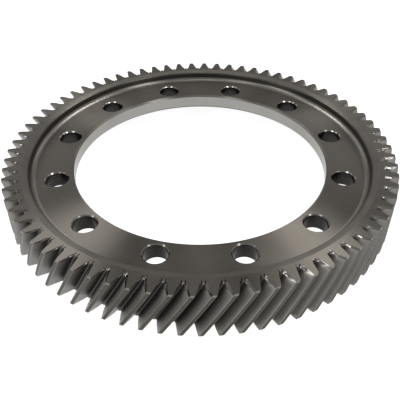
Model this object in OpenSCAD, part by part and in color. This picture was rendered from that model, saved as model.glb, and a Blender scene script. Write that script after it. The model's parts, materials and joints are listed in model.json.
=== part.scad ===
// Helical ring gear for a final drive: one steel ring with 74 right-hand teeth on a raised rim,
// and a thinner web inside the rim with a pilot bore and a circle of bolt holes.
// The origin is on the bore's axis, level with the bottom face of the rim. +Z is up.

/* [Teeth] */
// Number of teeth
teeth = 74; // [68:1:80]
// Normal module, the size of a tooth square to its own line
normal_module = 2.53; // [2.4:0.01:2.6]
// Helix angle at the pitch circle, right-handed
helix_angle = 28.7; // [15:0.1:32]
// Normal pressure angle
pressure_angle = 17.5; // [16:0.5:20]
// Height of a tooth above the pitch circle, in normal modules
addendum = 1.3; // [1:0.05:1.4]
// Depth of a gap below the pitch circle, in normal modules
dedendum = 1.65; // [1.3:0.05:1.75]
// Height of the bevel round the end of each gap, along the axis
bevel_height = 0.9; // [0.5:0.05:1.5]
// Width of that bevel at the tip of a tooth
bevel_at_tip = 0.2; // [0.1:0.05:0.4]
// Width of that bevel at the foot of a flank
bevel_at_foot = 1.1; // [0.4:0.05:1.3]
// Reach of that bevel into the rim at the two corners of the gap
bevel_at_corner = 2.4; // [1:0.1:3]
// Reach of that bevel into the rim at the middle of the gap
bevel_at_middle = 0.3; // [0.2:0.05:0.8]
// Chamfer at both ends of the tooth tips
tip_chamfer = 0.3; // [0.1:0.05:0.8]
// Turn of the first tooth's centre from the X axis, at the top face
tooth_clock = 0.7; // [0:0.1:4.8]

/* [Rim] */
// Face width of the teeth, which is the height of the rim
face_width = 27.5; // [24:0.5:34]
// Metal between the bottom of a gap and the edge of the recess
rim_wall = 6.6; // [5:0.2:9]
// Width of the shallow bevel round the mouth of each recess
mouth_bevel = 3.6; // [1:0.2:4.5]
// Fall of that bevel, along the axis
mouth_bevel_fall = 0.85; // [0.3:0.05:1.5]
// Draft of the recess walls
recess_draft = 12; // [3:0.5:15]
// Fillet where a recess wall meets the web
recess_fillet = 2.5; // [1:0.1:3]

/* [Web] */
// Depth of the upper recess, from the rim's top face to the web
top_recess = 5.8; // [4:0.1:8]
// Thickness of the web
web_thickness = 9.6; // [8:0.1:12]
// Diameter of the pilot bore
bore_d = 144; // [130:0.5:148]
// Chamfer at the top of the bore
bore_chamfer_top = 1; // [0.3:0.1:1.5]
// Chamfer at the bottom of the bore
bore_chamfer_bottom = 2; // [0.5:0.1:2.5]

/* [Bolt holes] */
// Number of bolt holes
bolt_holes = 12; // [6:1:16]
// Diameter of a bolt hole
bolt_hole_d = 12.5; // [8:0.1:13]
// Metal between the bore and the edge of a bolt hole
bolt_land = 3.25; // [2.8:0.05:5]
// Chamfer at both ends of a bolt hole
bolt_hole_chamfer = 0.6; // [0.2:0.1:1]
// Turn of the first bolt hole from the X axis
bolt_clock = 15; // [0:1:30]

/* [Hidden] */
STEEL = [0.38, 0.37, 0.35];
ROUND = 360;            // flats on a full turn of the rim and bore
HOLE_ROUND = 72;        // flats on a bolt hole
CLEAR = 0.15;           // how far a cutter reaches past the face that it cuts
FLANK_STEPS = 2;        // straight steps up one flank
ROOT_STEPS = 7;         // straight steps round the bottom of a gap
SEARCH_STEPS = 30;      // halvings in the search for the fillet's start

// Tooth geometry in the plane of rotation
pitch_r = teeth * normal_module / cos(helix_angle) / 2;
tip_r = pitch_r + addendum * normal_module;
root_r = pitch_r - dedendum * normal_module;
plane_pressure = atan(tan(pressure_angle) / cos(helix_angle));
base_r = pitch_r * cos(plane_pressure);
turn_per_mm = tan(helix_angle) / pitch_r * 180 / PI;

// Heights and radii of the blank
web_top = face_width - top_recess;
web_bottom = web_top - web_thickness;
recess_r = root_r - rim_wall;
bore_r = bore_d / 2;
bolt_circle_r = bore_r + bolt_land + bolt_hole_d / 2;

// Involute function of a pressure angle, in degrees
function involute(angle) = tan(angle) * 180 / PI - angle;
// Pressure angle where the flank crosses a radius
function flank_pressure(r) = acos(base_r / r);
// Half the angle of a gap at a radius
function half_gap(r) = 90 / teeth - involute(plane_pressure) + involute(flank_pressure(r));
// Slope of the flank at a radius, from the gap's middle line
function flank_slope(r) = half_gap(r) + flank_pressure(r);
// Distance of a flank point from the gap's middle line
function flank_offset(r) = r * sin(half_gap(r));
// Radius of the round that fills the bottom of the gap and meets the flank at r
function root_round(r) = flank_offset(r) / cos(flank_slope(r));
// Centre of that round, along the gap's middle line
function root_centre(r) = r * cos(half_gap(r)) + flank_offset(r) * tan(flank_slope(r));
// Flank radius at which the round just reaches the root circle
function round_start(low, high, steps) =
    let (mid = (low + high) / 2)
    steps == 0 ? mid
    : root_centre(mid) - root_round(mid) > root_r ? round_start(low, mid, steps - 1)
    : round_start(mid, high, steps - 1);
start_r = round_start(root_r, pitch_r, SEARCH_STEPS);

// Bevel width up the flank, and bevel reach round the bottom of the gap, where share runs from
// one flank to the other: it is deepest in the two corners
function flank_bevel(r) = bevel_at_foot
    + (bevel_at_tip - bevel_at_foot) * (r - start_r) / (tip_r - start_r);
function root_bevel(share) = lookup(share, [
    [0, bevel_at_foot],
    [1 / ROOT_STEPS, bevel_at_corner],
    [2 / ROOT_STEPS, bevel_at_corner],
    [3 / ROOT_STEPS, bevel_at_middle],
    [1 - 3 / ROOT_STEPS, bevel_at_middle],
    [1 - 2 / ROOT_STEPS, bevel_at_corner],
    [1 - 1 / ROOT_STEPS, bevel_at_corner],
    [1, bevel_at_foot]]);

// Points up one flank, from the round to past the tip. side is 1 or -1, and open is the share of
// the bevel that the outline has reached
function flank_points(side, open) = [
    for (i = [0 : FLANK_STEPS])
    let (r = start_r + (tip_r + CLEAR - start_r) * i / FLANK_STEPS, push = open * flank_bevel(r))
    [r * cos(half_gap(r)) - push * sin(flank_slope(r)),
     side * (r * sin(half_gap(r)) + push * cos(flank_slope(r)))]];
// Points round the bottom of the gap between the flanks
function root_points(open) = [
    for (i = [1 : ROOT_STEPS - 1])
    let (from = 90 + flank_slope(start_r), turn = from + 2 * (180 - from) * i / ROOT_STEPS)
    [root_centre(start_r) + root_round(start_r) * cos(turn) - open * root_bevel(i / ROOT_STEPS),
     root_round(start_r) * sin(turn)]];
function reversed(list) = [for (i = [len(list) - 1 : -1 : 0]) list[i]];
// Outline of a gap with its middle line along +X
function gap_outline(open) = concat(
    reversed(flank_points(1, open)), root_points(open), flank_points(-1, open));
// A point at height z, turned as the helix turns
function on_helix(p, z) =
    let (turn = turn_per_mm * (z - face_width))
    [p.x * cos(turn) - p.y * sin(turn), p.x * sin(turn) + p.y * cos(turn), z];

// Height of each slice of the gap, and how far its bevel is open there
past_face = 1 + CLEAR / bevel_height;
SLICES = [
    [-CLEAR, past_face],
    [bevel_height, 0],
    [face_width / 2, 0],
    [face_width - bevel_height, 0],
    [face_width + CLEAR, past_face]];

// One gap between two teeth, as the cutter that forms it
module gap_cutter() {
    count = len(gap_outline(0));
    top = len(SLICES) - 1;
    rings = [for (s = SLICES) each [for (p = gap_outline(s[1])) on_helix(p, s[0])]];
    hubs = [for (s = [SLICES[0], SLICES[top]]) on_helix([pitch_r, 0], s[0])];
    bottom_hub = len(rings);
    walls = [for (s = [0 : top - 1]) for (i = [0 : count - 1])
        let (a = s * count + i, b = s * count + (i + 1) % count)
        each [[a, a + count, b], [b, a + count, b + count]]];
    bottom = [for (i = [0 : count - 1]) [bottom_hub, i, (i + 1) % count]];
    lid = [for (i = [0 : count - 1])
        [bottom_hub + 1, top * count + (i + 1) % count, top * count + i]];
    polyhedron(concat(rings, hubs), concat(bottom, walls, lid), convexity = 6);
}

// All the gaps, clocked to the bolt holes
module tooth_gaps() {
    for (k = [0 : teeth - 1])
        rotate([0, 0, tooth_clock + (k + 0.5) * 360 / teeth]) gap_cutter();
}

// Section of the space inside the rim on one side of the web: depth is measured down from the
// face at height 0. The wall leans by the draft and runs into the web with the fillet.
module recess_section(depth) {
    wall_r = recess_r - (depth - mouth_bevel_fall) * tan(recess_draft);
    reach = recess_fillet * tan(45 - recess_draft / 2);
    centre = [wall_r - reach, recess_fillet - depth];
    on_wall = [wall_r + reach * sin(recess_draft), reach * cos(recess_draft) - depth];
    polygon([
        [bore_r / 2, CLEAR],
        [recess_r + mouth_bevel, CLEAR],
        [recess_r + mouth_bevel, 0],
        [recess_r, -mouth_bevel_fall],
        on_wall,
        [wall_r - reach, -depth],
        [bore_r / 2, -depth]]);
    translate(centre) circle(recess_fillet, $fn = HOLE_ROUND);
}

// Section of the turned blank, with the bore's and the tips' chamfers
module blank_section() {
    difference() {
        polygon([
            [bore_r, 0],
            [tip_r - tip_chamfer, 0],
            [tip_r, tip_chamfer],
            [tip_r, face_width - tip_chamfer],
            [tip_r - tip_chamfer, face_width],
            [bore_r, face_width]]);
        translate([0, face_width]) recess_section(top_recess);
        mirror([0, 1]) recess_section(web_bottom);
        polygon([
            [bore_r - CLEAR, web_top + CLEAR],
            [bore_r + bore_chamfer_top + CLEAR, web_top + CLEAR],
            [bore_r - CLEAR, web_top - bore_chamfer_top - CLEAR]]);
        polygon([
            [bore_r - CLEAR, web_bottom - CLEAR],
            [bore_r - CLEAR, web_bottom + bore_chamfer_bottom + CLEAR],
            [bore_r + bore_chamfer_bottom + CLEAR, web_bottom - CLEAR]]);
    }
}

module turned_blank() {
    rotate_extrude($fn = ROUND) blank_section();
}

// One bolt hole with its two chamfers
module bolt_hole() {
    hole_r = bolt_hole_d / 2;
    wide_r = hole_r + bolt_hole_chamfer + CLEAR;
    cone = bolt_hole_chamfer + CLEAR;
    translate([0, 0, web_bottom - CLEAR])
        cylinder(h = web_thickness + 2 * CLEAR, r = hole_r, $fn = HOLE_ROUND);
    translate([0, 0, web_bottom - CLEAR])
        cylinder(h = cone, r1 = wide_r, r2 = hole_r, $fn = HOLE_ROUND);
    translate([0, 0, web_top - bolt_hole_chamfer])
        cylinder(h = cone, r1 = hole_r, r2 = wide_r, $fn = HOLE_ROUND);
}

module bolt_hole_circle() {
    for (k = [0 : bolt_holes - 1])
        rotate([0, 0, bolt_clock + k * 360 / bolt_holes])
            translate([bolt_circle_r, 0, 0]) bolt_hole();
}

module ring_gear() {
    color(STEEL) difference() {
        turned_blank();
        bolt_hole_circle();
        tooth_gaps();
    }
}

ring_gear();
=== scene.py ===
"""A helical ring gear lying flat on a white floor: dark turned steel, ground teeth, ground bore."""
import json
import math

import bmesh
import bpy
from mathutils import Matrix, Vector


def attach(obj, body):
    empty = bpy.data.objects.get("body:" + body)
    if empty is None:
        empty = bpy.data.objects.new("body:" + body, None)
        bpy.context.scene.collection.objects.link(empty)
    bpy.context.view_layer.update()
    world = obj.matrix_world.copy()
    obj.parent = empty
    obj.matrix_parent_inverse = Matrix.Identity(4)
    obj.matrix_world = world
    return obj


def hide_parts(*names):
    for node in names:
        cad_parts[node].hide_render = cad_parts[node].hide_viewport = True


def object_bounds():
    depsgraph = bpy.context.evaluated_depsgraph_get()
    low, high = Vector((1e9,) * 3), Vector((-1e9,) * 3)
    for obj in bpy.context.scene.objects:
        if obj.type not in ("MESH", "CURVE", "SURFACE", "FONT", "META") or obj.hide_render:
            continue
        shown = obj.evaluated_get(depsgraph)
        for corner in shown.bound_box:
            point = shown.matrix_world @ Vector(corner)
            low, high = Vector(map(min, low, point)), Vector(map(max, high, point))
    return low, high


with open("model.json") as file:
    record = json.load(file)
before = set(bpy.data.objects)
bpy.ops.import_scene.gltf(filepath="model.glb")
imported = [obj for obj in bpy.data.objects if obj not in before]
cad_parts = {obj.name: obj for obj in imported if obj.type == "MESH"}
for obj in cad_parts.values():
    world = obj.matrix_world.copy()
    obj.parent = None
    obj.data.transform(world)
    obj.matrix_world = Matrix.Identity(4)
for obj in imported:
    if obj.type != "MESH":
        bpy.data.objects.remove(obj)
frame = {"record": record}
cad_low, cad_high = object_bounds()

# Sizes that the frame gives, in millimetres, as the gear is modelled
MM = 0.001
mounts = {m["name"]: m for m in frame["record"]["mounts"]}
tip_r = (cad_high.x - cad_low.x) / 2 / MM
face_width = (cad_high.z - cad_low.z) / MM
web_top = mounts["bolt_head_seat"]["pos_m"][2] / MM
web_bottom = mounts["case_seat"]["pos_m"][2] / MM
bore_r = mounts["pilot_bore"]["dims"]["r_mm"]
bolt_circle_r = mounts["bolt_circle"]["dims"]["pcd_mm"] / 2
bolt_holes = mounts["bolt_circle"]["dims"]["count"]
bolt_hole_r = mounts["bolt_circle"]["dims"]["hole_r_mm"]

# Teeth, as the part has them: millimetres, with the dedendum in modules
TEETH = 74
NORMAL_MODULE = 2.53
HELIX_ANGLE = math.radians(28.7)
PRESSURE_ANGLE = math.radians(17.5)
DEDENDUM = 1.65

# Angle from +X of a tooth's middle at the upper face, and of a bolt hole
TOOTH_CLOCK = math.radians(0.7)
BOLT_CLOCK = math.radians(15)

# Rounded edge of a tooth's tip, and how much lower the tip is at the tooth's ends
TIP_EDGE = 0.12
TIP_CHAMFER = 0.3

# Bevel at each end of a gap, in millimetres: hollow, and a little narrower than the part's
BEVEL_HEIGHT = 0.9
BEVEL_AT_TIP = 0.08
BEVEL_AT_FOOT = 0.8
BEVEL_AT_CORNER = 2.4
BEVEL_AT_MIDDLE = 0.15

# Shares of the bevel's height, each with the share of its width that is reached there
BEVEL_STEPS = ((0.5, 0.8), (1.0, 1.0))

# Place and reach of the root's two corners, as shares of its round from flank to flank
CORNER_SHARE = 0.2
CORNER_SPREAD = 0.17

# Rim, recesses, bore and holes, in millimetres
RIM_WALL = 6.6
MOUTH_BEVEL = 3.6
MOUTH_BEVEL_FALL = 0.85
RECESS_DRAFT = math.radians(12)
RECESS_FILLET = 2.5
EDGE_ROUND = 0.6
BORE_CHAMFER_TOP = 1.0
BORE_CHAMFER_BOTTOM = 2.0
BOLT_HOLE_CHAMFER = 0.6

# How finely each form is divided
FLANK_STEPS = 7
ROOT_STEPS = 7
HELIX_STEPS = 12
FILLET_STEPS = 9
EDGE_STEPS = 4
ROUND_STEPS = 6
HOLE_STEPS = 60
FLOOR_STEPS = 96
FOOT_HALVINGS = 40

# Points nearer than this are merged, in millimetres
MERGE = 0.002

# Edges that bend more than this are hard, and so are those round a face as level as this
SHARP_ANGLE = math.radians(27)
FLAT = 0.99999

# Noises in the steel: its clouded tone, its fine grain and its turning marks, per metre
CLOUDS = {"Scale": 45.0, "Detail": 3.0}
SPECKS = {"Scale": 1800.0, "Detail": 2.0}
RINGS = {"Scale": 2200.0, "Detail": 2.0}

# Range that clouds and specks have together, and how far the roughness strays with them
NOISE_RANGE = (0.7, 1.3)
ROUGHNESS_SPREAD = 0.04

# Where the painted shade at the bottom of each gap fades out, in millimetres above the root circle
ROOT_SHADE = (0.3, 4.5)

# Turns a stretched reflection from along the turning marks to across them
QUARTER_TURN = 0.25

# Studio: level of the plain room, and the floor's radius, own tone and glow behind the gear
ROOM_LIGHT = 0.62
FLOOR_RADIUS = 4.0
FLOOR_TONE = 0.25
FLOOR_GLOW = 0.94

# Each softbox's azimuth and elevation in degrees, width in metres and radiance
SOFTBOX_DISTANCE = 1.3
SOFTBOXES = (
    (130, 50, 0.3, 17.0), (50, 54, 0.3, 21.0),
    (175, 52, 0.22, 5.0), (5, 52, 0.22, 5.0),
    (-90, 84, 0.3, 4.5), (90, 57, 0.2, 2.5),
    (-37, 57, 0.3, 11.0), (-131, 57, 0.3, 8.0),
    (122, 28, 0.45, 1.4), (58, 28, 0.45, 1.4),
    (-40, 35, 0.3, 5.0), (-152, 26, 0.4, 5.0),
)

# The photograph's viewing angle: place in metres, lens and sensor in millimetres
CAMERA_PLACE = (-0.00015, -0.25963, 0.20303)
CAMERA_PITCH = math.radians(39.5)
CAMERA_ROLL = math.radians(-0.24)
CAMERA_LENS = 49.07
CAMERA_SENSOR = 36.0
CAMERA_NEAR = 0.01

# What follows from these sizes, in millimetres and radians
pitch_r = TEETH * NORMAL_MODULE / math.cos(HELIX_ANGLE) / 2
root_r = pitch_r - DEDENDUM * NORMAL_MODULE
plane_pressure = math.atan(math.tan(PRESSURE_ANGLE) / math.cos(HELIX_ANGLE))
base_r = pitch_r * math.cos(plane_pressure)
turn_per_mm = math.tan(HELIX_ANGLE) / pitch_r
recess_r = root_r - RIM_WALL

# Finishes, in the order of the gear's material slots
# Some finishes are lighter or darker copies of the steel: painted shade on the recess walls, in the
# bolt holes, on the bore's lower chamfer and at the bottom of each gap, and painted highlight on
# the mouth bevels, the fillets, the bore's upper chamfer, the tooth bevels, the tip edges and the
# hole chamfers
TURNED, FLANK, CHAMFER_AND_PAINTED_HIGHLIGHT, BORE, DRILLED_AND_PAINTED_SHADE, FORMED_AND_PAINTED_HIGHLIGHT, PAINTED_SHADE_WALL, FILLET_PAINTED_HIGHLIGHT = range(8)


def involute(angle):
    """The angle round the gear that an involute has covered at a pressure angle."""
    return math.tan(angle) - angle


def half_gap(r):
    """Half the angle of a gap between two teeth at a radius."""
    return math.pi / 2 / TEETH - involute(plane_pressure) + involute(math.acos(base_r / r))


def flank_slope(r):
    """Slope of the flank at a radius, from the gap's middle line."""
    return half_gap(r) + math.acos(base_r / r)


def root_round(r):
    """Radius and centre of the round in the bottom of a gap that meets the flank at radius r."""
    across = r * math.sin(half_gap(r))
    slope = flank_slope(r)
    return across / math.cos(slope), r * math.cos(half_gap(r)) + across * math.tan(slope)


def find_foot():
    """Radius where the flank ends in a round that just reaches the root circle."""
    low, high = root_r, pitch_r
    for _ in range(FOOT_HALVINGS):
        middle = (low + high) / 2
        radius, centre = root_round(middle)
        if centre - radius > root_r:
            high = middle
        else:
            low = middle
    return middle


foot_r = find_foot()


def root_bevel(share):
    """Width of the bevel round the bottom of a gap: share is 0 at the flank and a half midway."""
    plain = max(0.0, 1 - share / (2 * CORNER_SHARE))
    width = BEVEL_AT_MIDDLE + (BEVEL_AT_FOOT - BEVEL_AT_MIDDLE) * plain
    away = min(1.0, abs(share - CORNER_SHARE) / CORNER_SPREAD)
    lobe = math.cos(away * math.pi / 2) ** 2
    return width + (BEVEL_AT_CORNER - width) * lobe


def flank_bevel(r):
    """Width of the bevel along the flank, from its foot to the tip."""
    return BEVEL_AT_FOOT + (BEVEL_AT_TIP - BEVEL_AT_FOOT) * (r - foot_r) / (tip_r - foot_r)


def on_circle(r, turn):
    """A point round the gear's axis, at an angle from +X."""
    return Vector((r * math.cos(turn), r * math.sin(turn), 0))


def on_curve(start, corner, end, share):
    """A point of the smooth curve from start to end that rounds off a corner."""
    return start.lerp(corner, share).lerp(corner.lerp(end, share), share)


def root_points(opened):
    """The round in the bottom of a gap, from its middle to just short of the flank."""
    radius, centre = root_round(foot_r)
    foot_turn = math.pi / 2 + flank_slope(foot_r)
    points = []
    for i in range(ROOT_STEPS):
        share = 0.5 - 0.5 * i / ROOT_STEPS
        turn = foot_turn + 2 * (math.pi - foot_turn) * share
        middle = Vector((centre - opened * root_bevel(share), 0, 0))
        points.append(middle + on_circle(radius, turn))
    return points


def flank_points(opened, edge_r):
    """A flank, from its foot to the rounded edge of the tip at radius edge_r."""
    points = []
    for i in range(FLANK_STEPS + 1):
        r = foot_r + (edge_r - foot_r) * i / FLANK_STEPS
        slope = flank_slope(r)
        aside = Vector((-math.sin(slope), math.cos(slope), 0))
        points.append(on_circle(r, half_gap(r)) + aside * opened * flank_bevel(r))
    return points


def tip_points(opened, start, land_r):
    """The rounded edge and half the land of a tip at radius land_r. start is the flank's end."""
    corner_turn = half_gap(land_r) + opened * BEVEL_AT_TIP / land_r
    corner = on_circle(land_r, corner_turn)
    land = on_circle(land_r, corner_turn + TIP_EDGE / land_r)
    return [on_curve(start, corner, land, 0.5), land, on_circle(land_r, math.pi / TEETH)]


def half_profile(opened):
    """One side of a gap, to the middle of the tooth. opened is 0 along it and 1 at its ends."""
    land_r = tip_r - opened * TIP_CHAMFER
    flank = flank_points(opened, land_r - TIP_EDGE)
    return root_points(opened) + flank + tip_points(opened, flank[-1], land_r)


def gap_profile(opened):
    """A whole gap with its middle on +X, from the middle of one tooth to the middle of the next."""
    right = half_profile(opened)
    left = [Vector((p.x, -p.y, 0)) for p in right[:0:-1]]
    return left + right


def on_helix(point, z):
    """A point of the profile at height z, turned as the teeth turn."""
    turn = turn_per_mm * (z - face_width) + TOOTH_CLOCK + math.pi / TEETH
    return Matrix.Rotation(turn, 3, "Z") @ point + Vector((0, 0, z))


def chain(bm, points):
    """Vertices in a row with an edge between neighbours."""
    verts = [bm.verts.new(p) for p in points]
    edges = [bm.edges.new(pair) for pair in zip(verts, verts[1:])]
    return verts, edges


def extrude_edges(bm, edges, finish):
    """Extrudes a row of edges in place, and returns the new row's vertices and edges."""
    made = bmesh.ops.extrude_edge_only(bm, edges=edges)["geom"]
    for face in made:
        if isinstance(face, bmesh.types.BMFace):
            face.material_index = finish
    verts = [g for g in made if isinstance(g, bmesh.types.BMVert)]
    row = set(verts)
    rails = [g for g in made if isinstance(g, bmesh.types.BMEdge) and row.issuperset(g.verts)]
    return verts, rails


def bevel_end(bm, edges, place, face_z, inward):
    """Opens the swept gap into its bevel, up to the face at face_z. inward is 1 or -1."""
    for height, opened in BEVEL_STEPS:
        profile = gap_profile(opened)
        z = face_z + inward * BEVEL_HEIGHT * (1 - height)
        # The bevel faces take the bright edge steel: bright deburred edges, lightened further as
        # painted highlight
        verts, edges = extrude_edges(bm, edges, CHAMFER_AND_PAINTED_HIGHLIGHT)
        for vert in verts:
            vert.co = on_helix(profile[vert[place]], z)


def paint(bm, before, finish, inner=0.0):
    """Gives a finish to the faces made since the vertices in before, outside a radius."""
    for vert in bm.verts:
        if vert not in before:
            for face in vert.link_faces:
                if min(v.co.xy.length for v in face.verts) > inner:
                    face.material_index = finish


def copy_round(bm, before, count):
    """Copies all that was made since the vertices in before, to count places round the axis."""
    verts = [v for v in bm.verts if v not in before]
    edges = {e for v in verts for e in v.link_edges}
    faces = {f for v in verts for f in v.link_faces}
    bmesh.ops.spin(bm, geom=[*verts, *edges, *faces], axis=(0, 0, 1), cent=(0, 0, 0),
                   angle=math.tau * (count - 1) / count, steps=count - 1, use_duplicate=True)


def make_teeth(bm):
    """The skin of all the teeth: one gap swept along the helix, its bevelled ends, and copies."""
    place = bm.verts.layers.int.new("place")
    before = set(bm.verts)
    verts, edges = chain(bm, [on_helix(p, BEVEL_HEIGHT) for p in gap_profile(0)])
    for i, vert in enumerate(verts):
        vert[place] = i
    length = face_width - 2 * BEVEL_HEIGHT
    swept = bmesh.ops.spin(bm, geom=verts + edges, axis=(0, 0, 1), cent=(0, 0, 0),
                           dvec=(0, 0, length / HELIX_STEPS), angle=turn_per_mm * length,
                           steps=HELIX_STEPS, use_merge=False)
    top_edges = [g for g in swept["geom_last"] if isinstance(g, bmesh.types.BMEdge)]
    paint(bm, before, FLANK)
    # The rounded tip edges take the bright edge steel: a painted highlight along each tip
    paint(bm, before, CHAMFER_AND_PAINTED_HIGHLIGHT, tip_r - TIP_EDGE - MERGE)
    paint(bm, before, TURNED, tip_r - MERGE)
    bevel_end(bm, edges, place, 0, 1)
    bevel_end(bm, top_edges, place, face_width, -1)
    copy_round(bm, before, TEETH)
    bm.verts.layers.int.remove(place)


def turn_section(bm, section, finish):
    """Turns a row of (radius, height) points round the axis, first through one tooth's share."""
    before = set(bm.verts)
    verts, edges = chain(bm, [Vector((r, 0, z)) for r, z in section])
    bmesh.ops.spin(bm, geom=verts + edges, axis=(0, 0, 1), cent=(0, 0, 0),
                   angle=math.tau / TEETH, steps=ROUND_STEPS, use_merge=False)
    paint(bm, before, finish)
    copy_round(bm, before, TEETH)


def recess_section(face_z, web_z):
    """Mouth bevel, rounded edge and fillet of the recess between a face of the rim and the web."""
    inward = 1 if web_z > face_z else -1
    depth = abs(web_z - face_z)
    wall_r = recess_r - (depth - MOUTH_BEVEL_FALL) * math.tan(RECESS_DRAFT)
    centre_r = wall_r - RECESS_FILLET * math.tan(math.pi / 4 - RECESS_DRAFT / 2)
    mouth = Vector((recess_r + MOUTH_BEVEL, face_z))
    edge = Vector((recess_r, face_z + inward * MOUTH_BEVEL_FALL))
    down = Vector((-math.sin(RECESS_DRAFT), inward * math.cos(RECESS_DRAFT)))
    start, end = edge + (mouth - edge).normalized() * EDGE_ROUND, edge + down * EDGE_ROUND
    rounded = [on_curve(start, edge, end, i / EDGE_STEPS) for i in range(EDGE_STEPS + 1)]
    fillet = []
    for i in range(FILLET_STEPS + 1):
        turn = RECESS_DRAFT + (math.pi / 2 - RECESS_DRAFT) * i / FILLET_STEPS
        r = centre_r + RECESS_FILLET * math.cos(turn)
        below = depth - RECESS_FILLET + RECESS_FILLET * math.sin(turn)
        fillet.append((r, face_z + inward * below))
    return [mouth, start], rounded, fillet


def make_turned_faces(bm):
    """The walls of both recesses, and the bore with its chamfers."""
    for face_z, web_z in ((face_width, web_top), (0, web_bottom)):
        bevel, rounded, fillet = recess_section(face_z, web_z)
        # The mouth bevel takes form-turned steel, lightened as painted highlight
        turn_section(bm, bevel, FORMED_AND_PAINTED_HIGHLIGHT)
        turn_section(bm, rounded, TURNED)
        # The recess wall takes a darker copy of the turned steel: painted shade
        turn_section(bm, [rounded[-1], fillet[0]], PAINTED_SHADE_WALL)
        # The fillet takes a lighter copy of the turned steel: painted highlight
        turn_section(bm, fillet, FILLET_PAINTED_HIGHLIGHT)
    upper, lower = web_top - BORE_CHAMFER_TOP, web_bottom + BORE_CHAMFER_BOTTOM
    # The bore's upper chamfer takes form-turned steel, lightened as painted highlight
    turn_section(bm, [(bore_r + BORE_CHAMFER_TOP, web_top), (bore_r, upper)], FORMED_AND_PAINTED_HIGHLIGHT)
    turn_section(bm, [(bore_r, upper), (bore_r, lower)], BORE)
    # The bore's lower chamfer is painted dark: a painted reflection of the shaded floor under the
    # web
    turn_section(bm, [(bore_r, lower), (bore_r + BORE_CHAMFER_BOTTOM, web_bottom)], DRILLED_AND_PAINTED_SHADE)


def make_bolt_holes(bm):
    """One drilled and chamfered hole, and its copies round the bolt circle."""
    before = set(bm.verts)
    out_to_circle = Matrix.Translation((bolt_circle_r, 0, web_top))
    at_hole = Matrix.Rotation(BOLT_CLOCK, 4, "Z") @ out_to_circle
    wide_r = bolt_hole_r + BOLT_HOLE_CHAMFER
    bmesh.ops.create_circle(bm, segments=HOLE_STEPS, radius=wide_r, matrix=at_hole)
    ring = [v for v in bm.verts if v not in before]
    edges = list({e for v in ring for e in v.link_edges})
    centre = at_hole.translation.copy()
    depth = web_top - web_bottom
    rings = ((bolt_hole_r, BOLT_HOLE_CHAMFER, CHAMFER_AND_PAINTED_HIGHLIGHT),
             # The wall of the hole is drilled steel, darkened further as painted shade inside the
             # hole
             (bolt_hole_r, depth - BOLT_HOLE_CHAMFER, DRILLED_AND_PAINTED_SHADE),
             (wide_r, depth, CHAMFER_AND_PAINTED_HIGHLIGHT))
    # Both chamfers of the hole take the bright edge steel, partly a painted highlight
    for radius, below, finish in rings:
        verts, edges = extrude_edges(bm, edges, finish)
        for vert in verts:
            out = vert.co - centre
            out.z = 0
            vert.co = centre + out.normalized() * radius - Vector((0, 0, below))
    copy_round(bm, before, bolt_holes)


def fill_level(bm, z):
    """Fills the flat face at a height, between all the open edges that lie there."""
    rim = [e for e in bm.edges if e.is_boundary and all(abs(v.co.z - z) < MERGE for v in e.verts)]
    made = bmesh.ops.triangle_fill(bm, edges=rim, use_beauty=True, use_dissolve=False,
                                   normal=(0, 0, 1))["geom"]
    for face in made:
        if isinstance(face, bmesh.types.BMFace):
            face.material_index = TURNED


def set_shading(bm):
    """Smooth faces, with sharp edges at corners and round every flat face."""
    for face in bm.faces:
        face.smooth = True
    for edge in bm.edges:
        flats = sum(abs(f.normal.z) > FLAT for f in edge.link_faces)
        edge.smooth = flats != 1 and edge.calc_face_angle(math.pi) < SHARP_ANGLE


def add_to_scene(name, data):
    """Puts a mesh, a lamp or a camera in the scene."""
    item = bpy.data.objects.new(name, data)
    bpy.context.scene.collection.objects.link(item)
    return item


def add_mesh(name, bm):
    """Puts a finished bmesh in the scene."""
    mesh = bpy.data.meshes.new(name)
    bm.to_mesh(mesh)
    bm.free()
    return add_to_scene(name, mesh)


def make_gear():
    """The whole gear as one closed mesh, modelled in millimetres and then brought to metres."""
    bm = bmesh.new()
    make_turned_faces(bm)
    make_bolt_holes(bm)
    make_teeth(bm)
    bmesh.ops.remove_doubles(bm, verts=bm.verts[:], dist=MERGE)
    for z in (0, web_bottom, web_top, face_width):
        fill_level(bm, z)
    bmesh.ops.recalc_face_normals(bm, faces=bm.faces[:])
    set_shading(bm)
    bmesh.ops.scale(bm, vec=(MM, MM, MM), verts=bm.verts[:])
    return add_mesh("helical_ring_gear", bm)


class Nodes:
    """A material's or world's node tree, with short ways to add and join its nodes."""

    def __init__(self, owner):
        owner.use_nodes = True
        self.tree = owner.node_tree
        self.tree.nodes.clear()

    def add(self, kind, inputs=None, **settings):
        """Adds a node. Each of its inputs takes a value, or a socket that it is linked to."""
        node = self.tree.nodes.new("ShaderNode" + kind)
        for name, value in settings.items():
            setattr(node, name, value)
        for name, value in (inputs or {}).items():
            if isinstance(value, bpy.types.NodeSocket):
                self.tree.links.new(value, node.inputs[name])
            else:
                node.inputs[name].default_value = value
        return node

    def mix(self, share, first, second):
        """The colour between two others, at a share of the way."""
        colours = {"Factor": share, "A": first, "B": second}
        return self.add("Mix", colours, data_type="RGBA").outputs["Result"]


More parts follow.
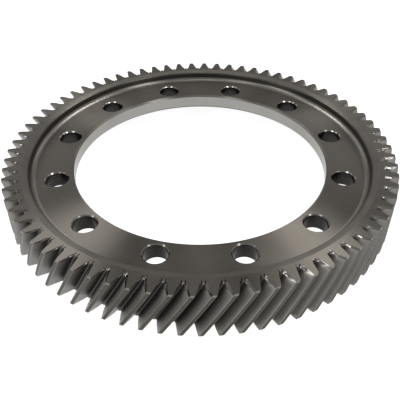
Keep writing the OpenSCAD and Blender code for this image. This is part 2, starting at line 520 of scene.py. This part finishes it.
def steel(name, dark, light, roughness, grain, metallic=1.0, anisotropy=0.0, groove=0.0,
          root=None):
    """Machined steel. dark and light are the two tones that it varies between, anisotropy
    stretches its reflections across the concentric turning marks, and groove and grain are the
    depths of those marks and of the fine surface, in metres. root is the tone of the painted
    shade at the bottom of the gaps."""
    material = bpy.data.materials.new(name)
    n = Nodes(material)
    place = n.add("TexCoord").outputs["Object"]
    clouds = n.add("TexNoise", {"Vector": place, **CLOUDS}).outputs["Fac"]
    specks = n.add("TexNoise", {"Vector": place, **SPECKS}).outputs["Fac"]
    level = n.add("VectorMath", {0: place, 1: (1, 1, 0)}, operation="MULTIPLY").outputs["Vector"]
    radius = n.add("VectorMath", {0: level}, operation="LENGTH").outputs["Value"]
    rings = n.add("TexNoise", {"W": radius, **RINGS}, noise_dimensions="1D").outputs["Fac"]
    both = n.add("Math", {0: clouds, 1: specks}, operation="ADD").outputs["Value"]
    least, most = NOISE_RANGE
    share = n.add("MapRange", {"Value": both, "From Min": least,
                               "From Max": most}).outputs["Result"]
    colour = n.mix(share, (*dark, 1), (*light, 1))
    # Darker towards the bottom of each gap: painted shade
    if root:
        start, end = ((root_r + rise) * MM for rise in ROOT_SHADE)
        painted_root_shade = n.add("MapRange", {"Value": radius, "From Min": start, "From Max": end},
                     interpolation_type="SMOOTHSTEP").outputs["Result"]
        colour = n.mix(painted_root_shade, (*root, 1), colour)
    rough = n.add("MapRange", {"Value": share, "To Min": roughness - ROUGHNESS_SPREAD,
                               "To Max": roughness + ROUGHNESS_SPREAD}).outputs["Result"]
    ringed = n.add("Bump", {"Height": rings, "Distance": groove, "Strength": 1.0})
    bumped = n.add("Bump", {"Height": specks, "Distance": grain,
                            "Normal": ringed.outputs["Normal"]})
    marks = n.add("VectorMath", {0: (0, 0, 1), 1: place}, operation="CROSS_PRODUCT")
    shader = n.add("BsdfPrincipled", {
        "Base Color": colour, "Metallic": metallic, "Roughness": rough,
        "Normal": bumped.outputs["Normal"], "Tangent": marks.outputs["Vector"],
        "Anisotropic": anisotropy, "Anisotropic Rotation": QUARTER_TURN})
    n.add("OutputMaterial", {"Surface": shader.outputs["BSDF"]})
    return material


def dress(gear):
    """Puts the finishes on the gear, in the order of TURNED to FILLET_PAINTED_HIGHLIGHT."""
    finishes = (
        steel("turned dark steel", (0.068, 0.061, 0.053), (0.094, 0.086, 0.075),
              roughness=0.38, grain=3e-6, anisotropy=0.98, groove=1e-6),
        # The tooth steel turns to the root tone at the bottom of each gap: painted shade
        steel("ground tooth steel", (0.2, 0.19, 0.176), (0.24, 0.229, 0.213),
              roughness=0.4, grain=2e-6, metallic=0.5, root=(0.034, 0.032, 0.029)),
        # Bright deburred edges, lightened further as painted highlight on the tooth bevels, tip
        # edges and hole chamfers
        steel("bright edge steel with painted highlight", (0.15, 0.142, 0.131), (0.18, 0.171, 0.159),
              roughness=0.17, grain=1e-6),
        steel("ground bore steel", (0.25, 0.243, 0.232), (0.3, 0.292, 0.279),
              roughness=0.3, grain=2e-6, anisotropy=0.6),
        # Drilled steel, darkened further as painted shade inside the holes and on the bore's lower
        # chamfer
        steel("drilled steel and painted shade", (0.028, 0.026, 0.024), (0.042, 0.039, 0.036),
              roughness=0.28, grain=2e-6),
        # Form-turned steel for the mouth bevels and the bore's upper chamfer, lighter than the
        # turned steel: painted highlight
        steel("form-turned steel with painted highlight", (0.094, 0.087, 0.077), (0.118, 0.109, 0.096),
              roughness=0.32, grain=1e-6, anisotropy=0.85),
        # A darker copy of the turned steel for the recess walls: painted shade
        steel("shaded wall steel", (0.03, 0.028, 0.025), (0.042, 0.039, 0.035),
              roughness=0.4, grain=2e-6, anisotropy=0.85),
        # A lighter copy of the turned steel for the fillets: painted highlight
        steel("turned fillet steel with painted highlight", (0.13, 0.12, 0.108), (0.16, 0.148, 0.134),
              roughness=0.32, grain=1e-6, anisotropy=0.85),
    )
    for material in finishes:
        gear.data.materials.append(material)


def camera_background(n):
    """1 for the rays that show the background: seen, reflected in metal or through glass."""
    rays = n.add("LightPath").outputs
    seen = n.add("Math", {0: rays["Is Camera Ray"], 1: rays["Is Glossy Ray"]}, operation="MAXIMUM")
    return n.add("Math", {0: seen.outputs["Value"], 1: rays["Is Transmission Ray"]},
                 operation="MAXIMUM").outputs["Value"]


def make_floor():
    """A plain pale floor that keeps the gear's shadow and shows white."""
    bm = bmesh.new()
    bmesh.ops.create_circle(bm, cap_ends=True, segments=FLOOR_STEPS, radius=FLOOR_RADIUS)
    floor = add_mesh("floor", bm)
    material = bpy.data.materials.new("white floor")
    n = Nodes(material)
    glow = n.add("Math", {0: camera_background(n), 1: FLOOR_GLOW}, operation="MULTIPLY")
    white = n.add("Emission", {"Color": (1, 1, 1, 1), "Strength": glow.outputs["Value"]})
    matt = n.add("BsdfDiffuse", {"Color": (FLOOR_TONE, FLOOR_TONE, FLOOR_TONE, 1)})
    both = n.add("AddShader", {0: matt.outputs["BSDF"], 1: white.outputs["Emission"]})
    n.add("OutputMaterial", {"Surface": both.outputs["Shader"]})
    floor.data.materials.append(material)


def make_world():
    """A plain grey room."""
    world = bpy.data.worlds.new("studio")
    n = Nodes(world)
    light = n.add("Background", {"Color": (1, 1, 1, 1), "Strength": ROOM_LIGHT})
    n.add("OutputWorld", {"Surface": light.outputs["Background"]})
    bpy.context.scene.world = world


def softbox(azimuth, elevation, width, radiance):
    """A square lamp that faces the gear. azimuth is counted from +X, in degrees."""
    turn, lift = math.radians(azimuth), math.radians(elevation)
    lamp = bpy.data.lights.new("softbox", "AREA")
    lamp.shape = "SQUARE"
    lamp.size = width
    lamp.energy = radiance * math.pi * width * width
    holder = add_to_scene("softbox", lamp)
    level = math.cos(lift)
    out = Vector((level * math.cos(turn), level * math.sin(turn), math.sin(lift)))
    holder.location = out * SOFTBOX_DISTANCE
    holder.rotation_euler = out.to_track_quat("Z", "Y").to_euler()


def make_camera():
    """The camera, pitched down at the gear from the photograph's side."""
    lens = bpy.data.cameras.new("camera")
    lens.lens = CAMERA_LENS
    lens.sensor_width = CAMERA_SENSOR
    lens.clip_start = CAMERA_NEAR
    camera = add_to_scene("camera", lens)
    look_down = Matrix.Rotation(math.pi / 2 - CAMERA_PITCH, 4, "X")
    roll = Matrix.Rotation(CAMERA_ROLL, 4, "Z")
    camera.matrix_world = Matrix.Translation(CAMERA_PLACE) @ look_down @ roll
    bpy.context.scene.camera = camera


gear = make_gear()
dress(gear)
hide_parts("ring_gear")
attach(gear, "root")
make_floor()
make_world()
for placing in SOFTBOXES:
    softbox(*placing)
make_camera()
bpy.context.scene.view_settings.view_transform = "Standard"
